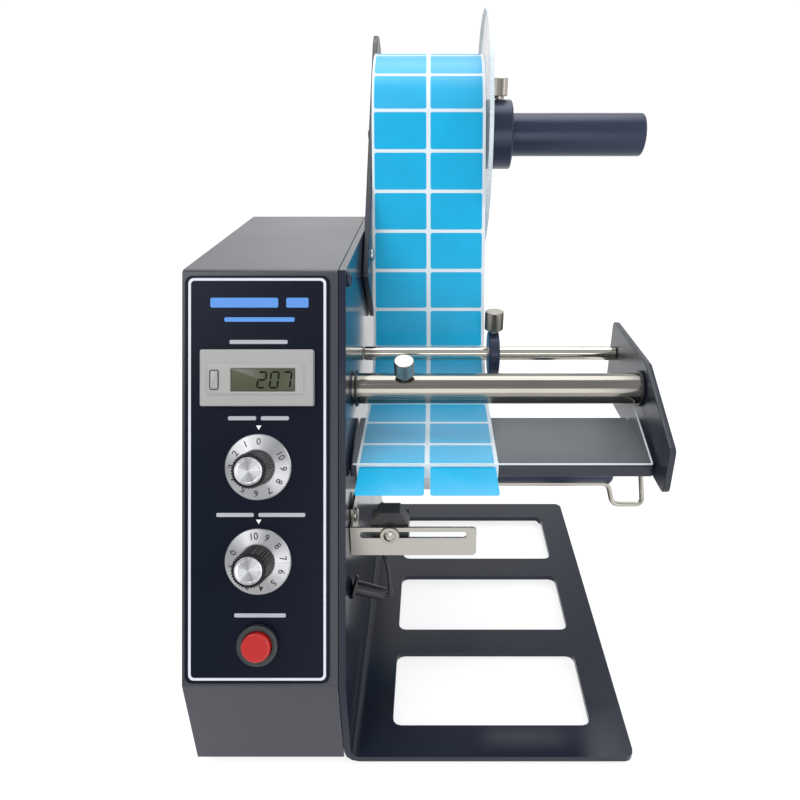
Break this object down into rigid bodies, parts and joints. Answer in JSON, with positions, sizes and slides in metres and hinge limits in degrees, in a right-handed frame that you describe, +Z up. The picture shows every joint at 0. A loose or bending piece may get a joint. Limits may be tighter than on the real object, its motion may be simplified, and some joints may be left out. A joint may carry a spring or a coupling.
{
  "type": "label dispenser machine",
  "caption": "Desk label dispenser: leaning control housing, tilted spool arm with label roll, peeling platform under a clear press plate, driven take up shaft.",
  "frame": {"origin": "centre of the footprint of the whole machine, on the table that the feet stand on", "axes": "+X to the machine's right, along the take up shaft; +Y to its back; +Z up"},
  "size_m": [0.2358, 0.3032, 0.3232],
  "materials": {
    "black_powder_coat": "smooth satin powder coat on steel sheet",
    "grey_powder_coat": "fine grained dark grey powder coat",
    "black_anodised": "satin black anodised, faint turning lines",
    "panel_film": "printed film with a thin pale border line",
    "pale_plastic": "light grey moulded plastic",
    "display": "olive grey liquid crystal display",
    "black_plastic": "moulded black plastic",
    "red_lens": "translucent red button",
    "turned_aluminium": "turned bright aluminium",
    "zinc_steel": "zinc plated steel",
    "chrome": "polished chrome plate",
    "nickel": "knurled nickel plate",
    "stainless": "satin stainless sheet",
    "clear_acrylic": "clear acrylic with bright cut edges",
    "label_stock": "sky blue die cut labels on a white liner",
    "liner_paper": "white siliconised paper",
    "core_board": "brown cardboard tube",
    "gear_plastic": "natural acetal",
    "brass": "machined brass",
    "circuit_board": "green laminate with components",
    "rubber": "black rubber"
  },
  "bodies": {
    "frame": {"side_frame": "black_powder_coat", "housing_cover": "grey_powder_coat", "rear_panel": "grey_powder_coat", "floor_tray": "grey_powder_coat", "panel_overlay": "panel_film", "counter_case": "pale_plastic", "counter_window": "display", "length_potentiometer": "zinc_steel", "speed_potentiometer": "zinc_steel", "power_switch": "black_plastic", "take_up_bearing": "zinc_steel", "gear_motor": "zinc_steel", "platform": "black_powder_coat", "end_plate": "black_powder_coat", "guide_rod": "chrome", "spool_arm": "black_powder_coat", "spool_shaft": "black_anodised", "spool_screw": "black_anodised", "arm_screw_front": "zinc_steel", "arm_screw_rear": "zinc_steel", "plate_screw": "black_anodised", "label_web": "label_stock", "peeled_label_left": "label_stock", "peeled_label_right": "label_stock", "sensor_bracket": "stainless", "bracket_screw": "chrome", "cable_gland": "black_plastic", "sensor_cable": "black_plastic", "control_board": "circuit_board", "transformer": "zinc_steel", "mains_inlet": "black_plastic", "foot_1": "rubber", "foot_2": "rubber", "foot_3": "rubber", "foot_4": "rubber"},
    "reset_button": {"reset_button": "pale_plastic"},
    "power_button": {"power_button": "red_lens"},
    "length_knob": {"length_knob_skirt": "turned_aluminium", "length_knob_grip": "black_plastic", "length_knob_cap": "turned_aluminium"},
    "speed_knob": {"speed_knob_skirt": "turned_aluminium", "speed_knob_grip": "black_plastic", "speed_knob_cap": "turned_aluminium"},
    "take_up": {"take_up_shaft": "black_anodised", "wound_liner": "liner_paper", "drive_wheel": "gear_plastic"},
    "motor_pinion": {"motor_pinion": "brass"},
    "liner_clip": {"liner_clip": "chrome"},
    "press": {"press_bar": "chrome", "press_plate": "clear_acrylic"},
    "press_screw": {"press_screw": "nickel"},
    "guide_ring": {"guide_ring": "black_anodised"},
    "ring_screw": {"ring_screw": "nickel"},
    "roll": {"roll_core": "core_board", "label_roll": "label_stock"},
    "flange": {"clear_flange": "clear_acrylic", "flange_collar": "black_anodised"},
    "collar_screw": {"collar_screw": "nickel"},
    "sensor": {"photo_sensor": "black_plastic", "sensor_screw": "nickel"}
  },
  "joints": [
    {"name": "reset_push", "type": "slide", "parent": "frame", "child": "reset_button", "axis": [0, 0.9032, -0.4292], "range_m": [0, 0.0008], "stiffness_N_per_m": 600},
    {"name": "power_push", "type": "slide", "parent": "frame", "child": "power_button", "axis": [0, 0.9032, -0.4292], "range_m": [0, 0.0025], "stiffness_N_per_m": 900},
    {"name": "length_turn", "type": "hinge", "parent": "frame", "child": "length_knob", "pos_m": [-0.0848, -0.11126, 0.1359], "axis": [0, 0.9032, -0.4292], "range_deg": [0, 300]},
    {"name": "speed_turn", "type": "hinge", "parent": "frame", "child": "speed_knob", "pos_m": [-0.0848, -0.12851, 0.09959], "axis": [0, 0.9032, -0.4292], "range_deg": [-291, 9]},
    {"name": "take_up_spin", "type": "hinge", "parent": "frame", "child": "take_up", "pos_m": [0.0123, -0.0516, 0.1007], "axis": [1, 0, 0], "continuous": true},
    {"name": "pinion_spin", "type": "hinge", "parent": "frame", "child": "motor_pinion", "pos_m": [-0.0557, -0.03, 0.1007], "axis": [1, 0, 0], "continuous": true},
    {"name": "clip_pull", "type": "slide", "parent": "take_up", "child": "liner_clip", "axis": [1, 0, 0], "range_m": [0, 0.12]},
    {"name": "press_lift", "type": "hinge", "parent": "frame", "child": "press", "pos_m": [0.0203, -0.0681, 0.153], "axis": [-1, 0, 0], "range_deg": [0, 100]},
    {"name": "press_screw_turn", "type": "hinge", "parent": "press", "child": "press_screw", "pos_m": [-0.0237, -0.0681, 0.153], "axis": [0, -0.2964, 0.9551], "range_deg": [0, 360]},
    {"name": "ring_slide", "type": "slide", "parent": "frame", "child": "guide_ring", "axis": [1, 0, 0], "range_m": [0, 0.061]},
    {"name": "ring_screw_turn", "type": "hinge", "parent": "guide_ring", "child": "ring_screw", "pos_m": [0.0219, -0.0206, 0.17], "axis": [0, 0, 1], "range_deg": [0, 360]},
    {"name": "roll_spin", "type": "hinge", "parent": "frame", "child": "roll", "pos_m": [-0.0127, 0.0836, 0.2552], "axis": [1, 0, 0], "continuous": true},
    {"name": "flange_slide", "type": "slide", "parent": "frame", "child": "flange", "axis": [1, 0, 0], "range_m": [0, 0.078]},
    {"name": "collar_screw_turn", "type": "hinge", "parent": "flange", "child": "collar_screw", "pos_m": [0.02935, 0.0836, 0.28], "axis": [0, 0, 1], "range_deg": [0, 360]},
    {"name": "sensor_slide", "type": "slide", "parent": "frame", "child": "sensor", "axis": [1, 0, 0], "range_m": [-0.006, 0.032]}
  ],
  "couplings": [
    {"joint": "pinion_spin", "follows": "take_up_spin", "ratio": -2},
    {"joint": "roll_spin", "follows": "take_up_spin", "ratio": -0.2921}
  ]
}
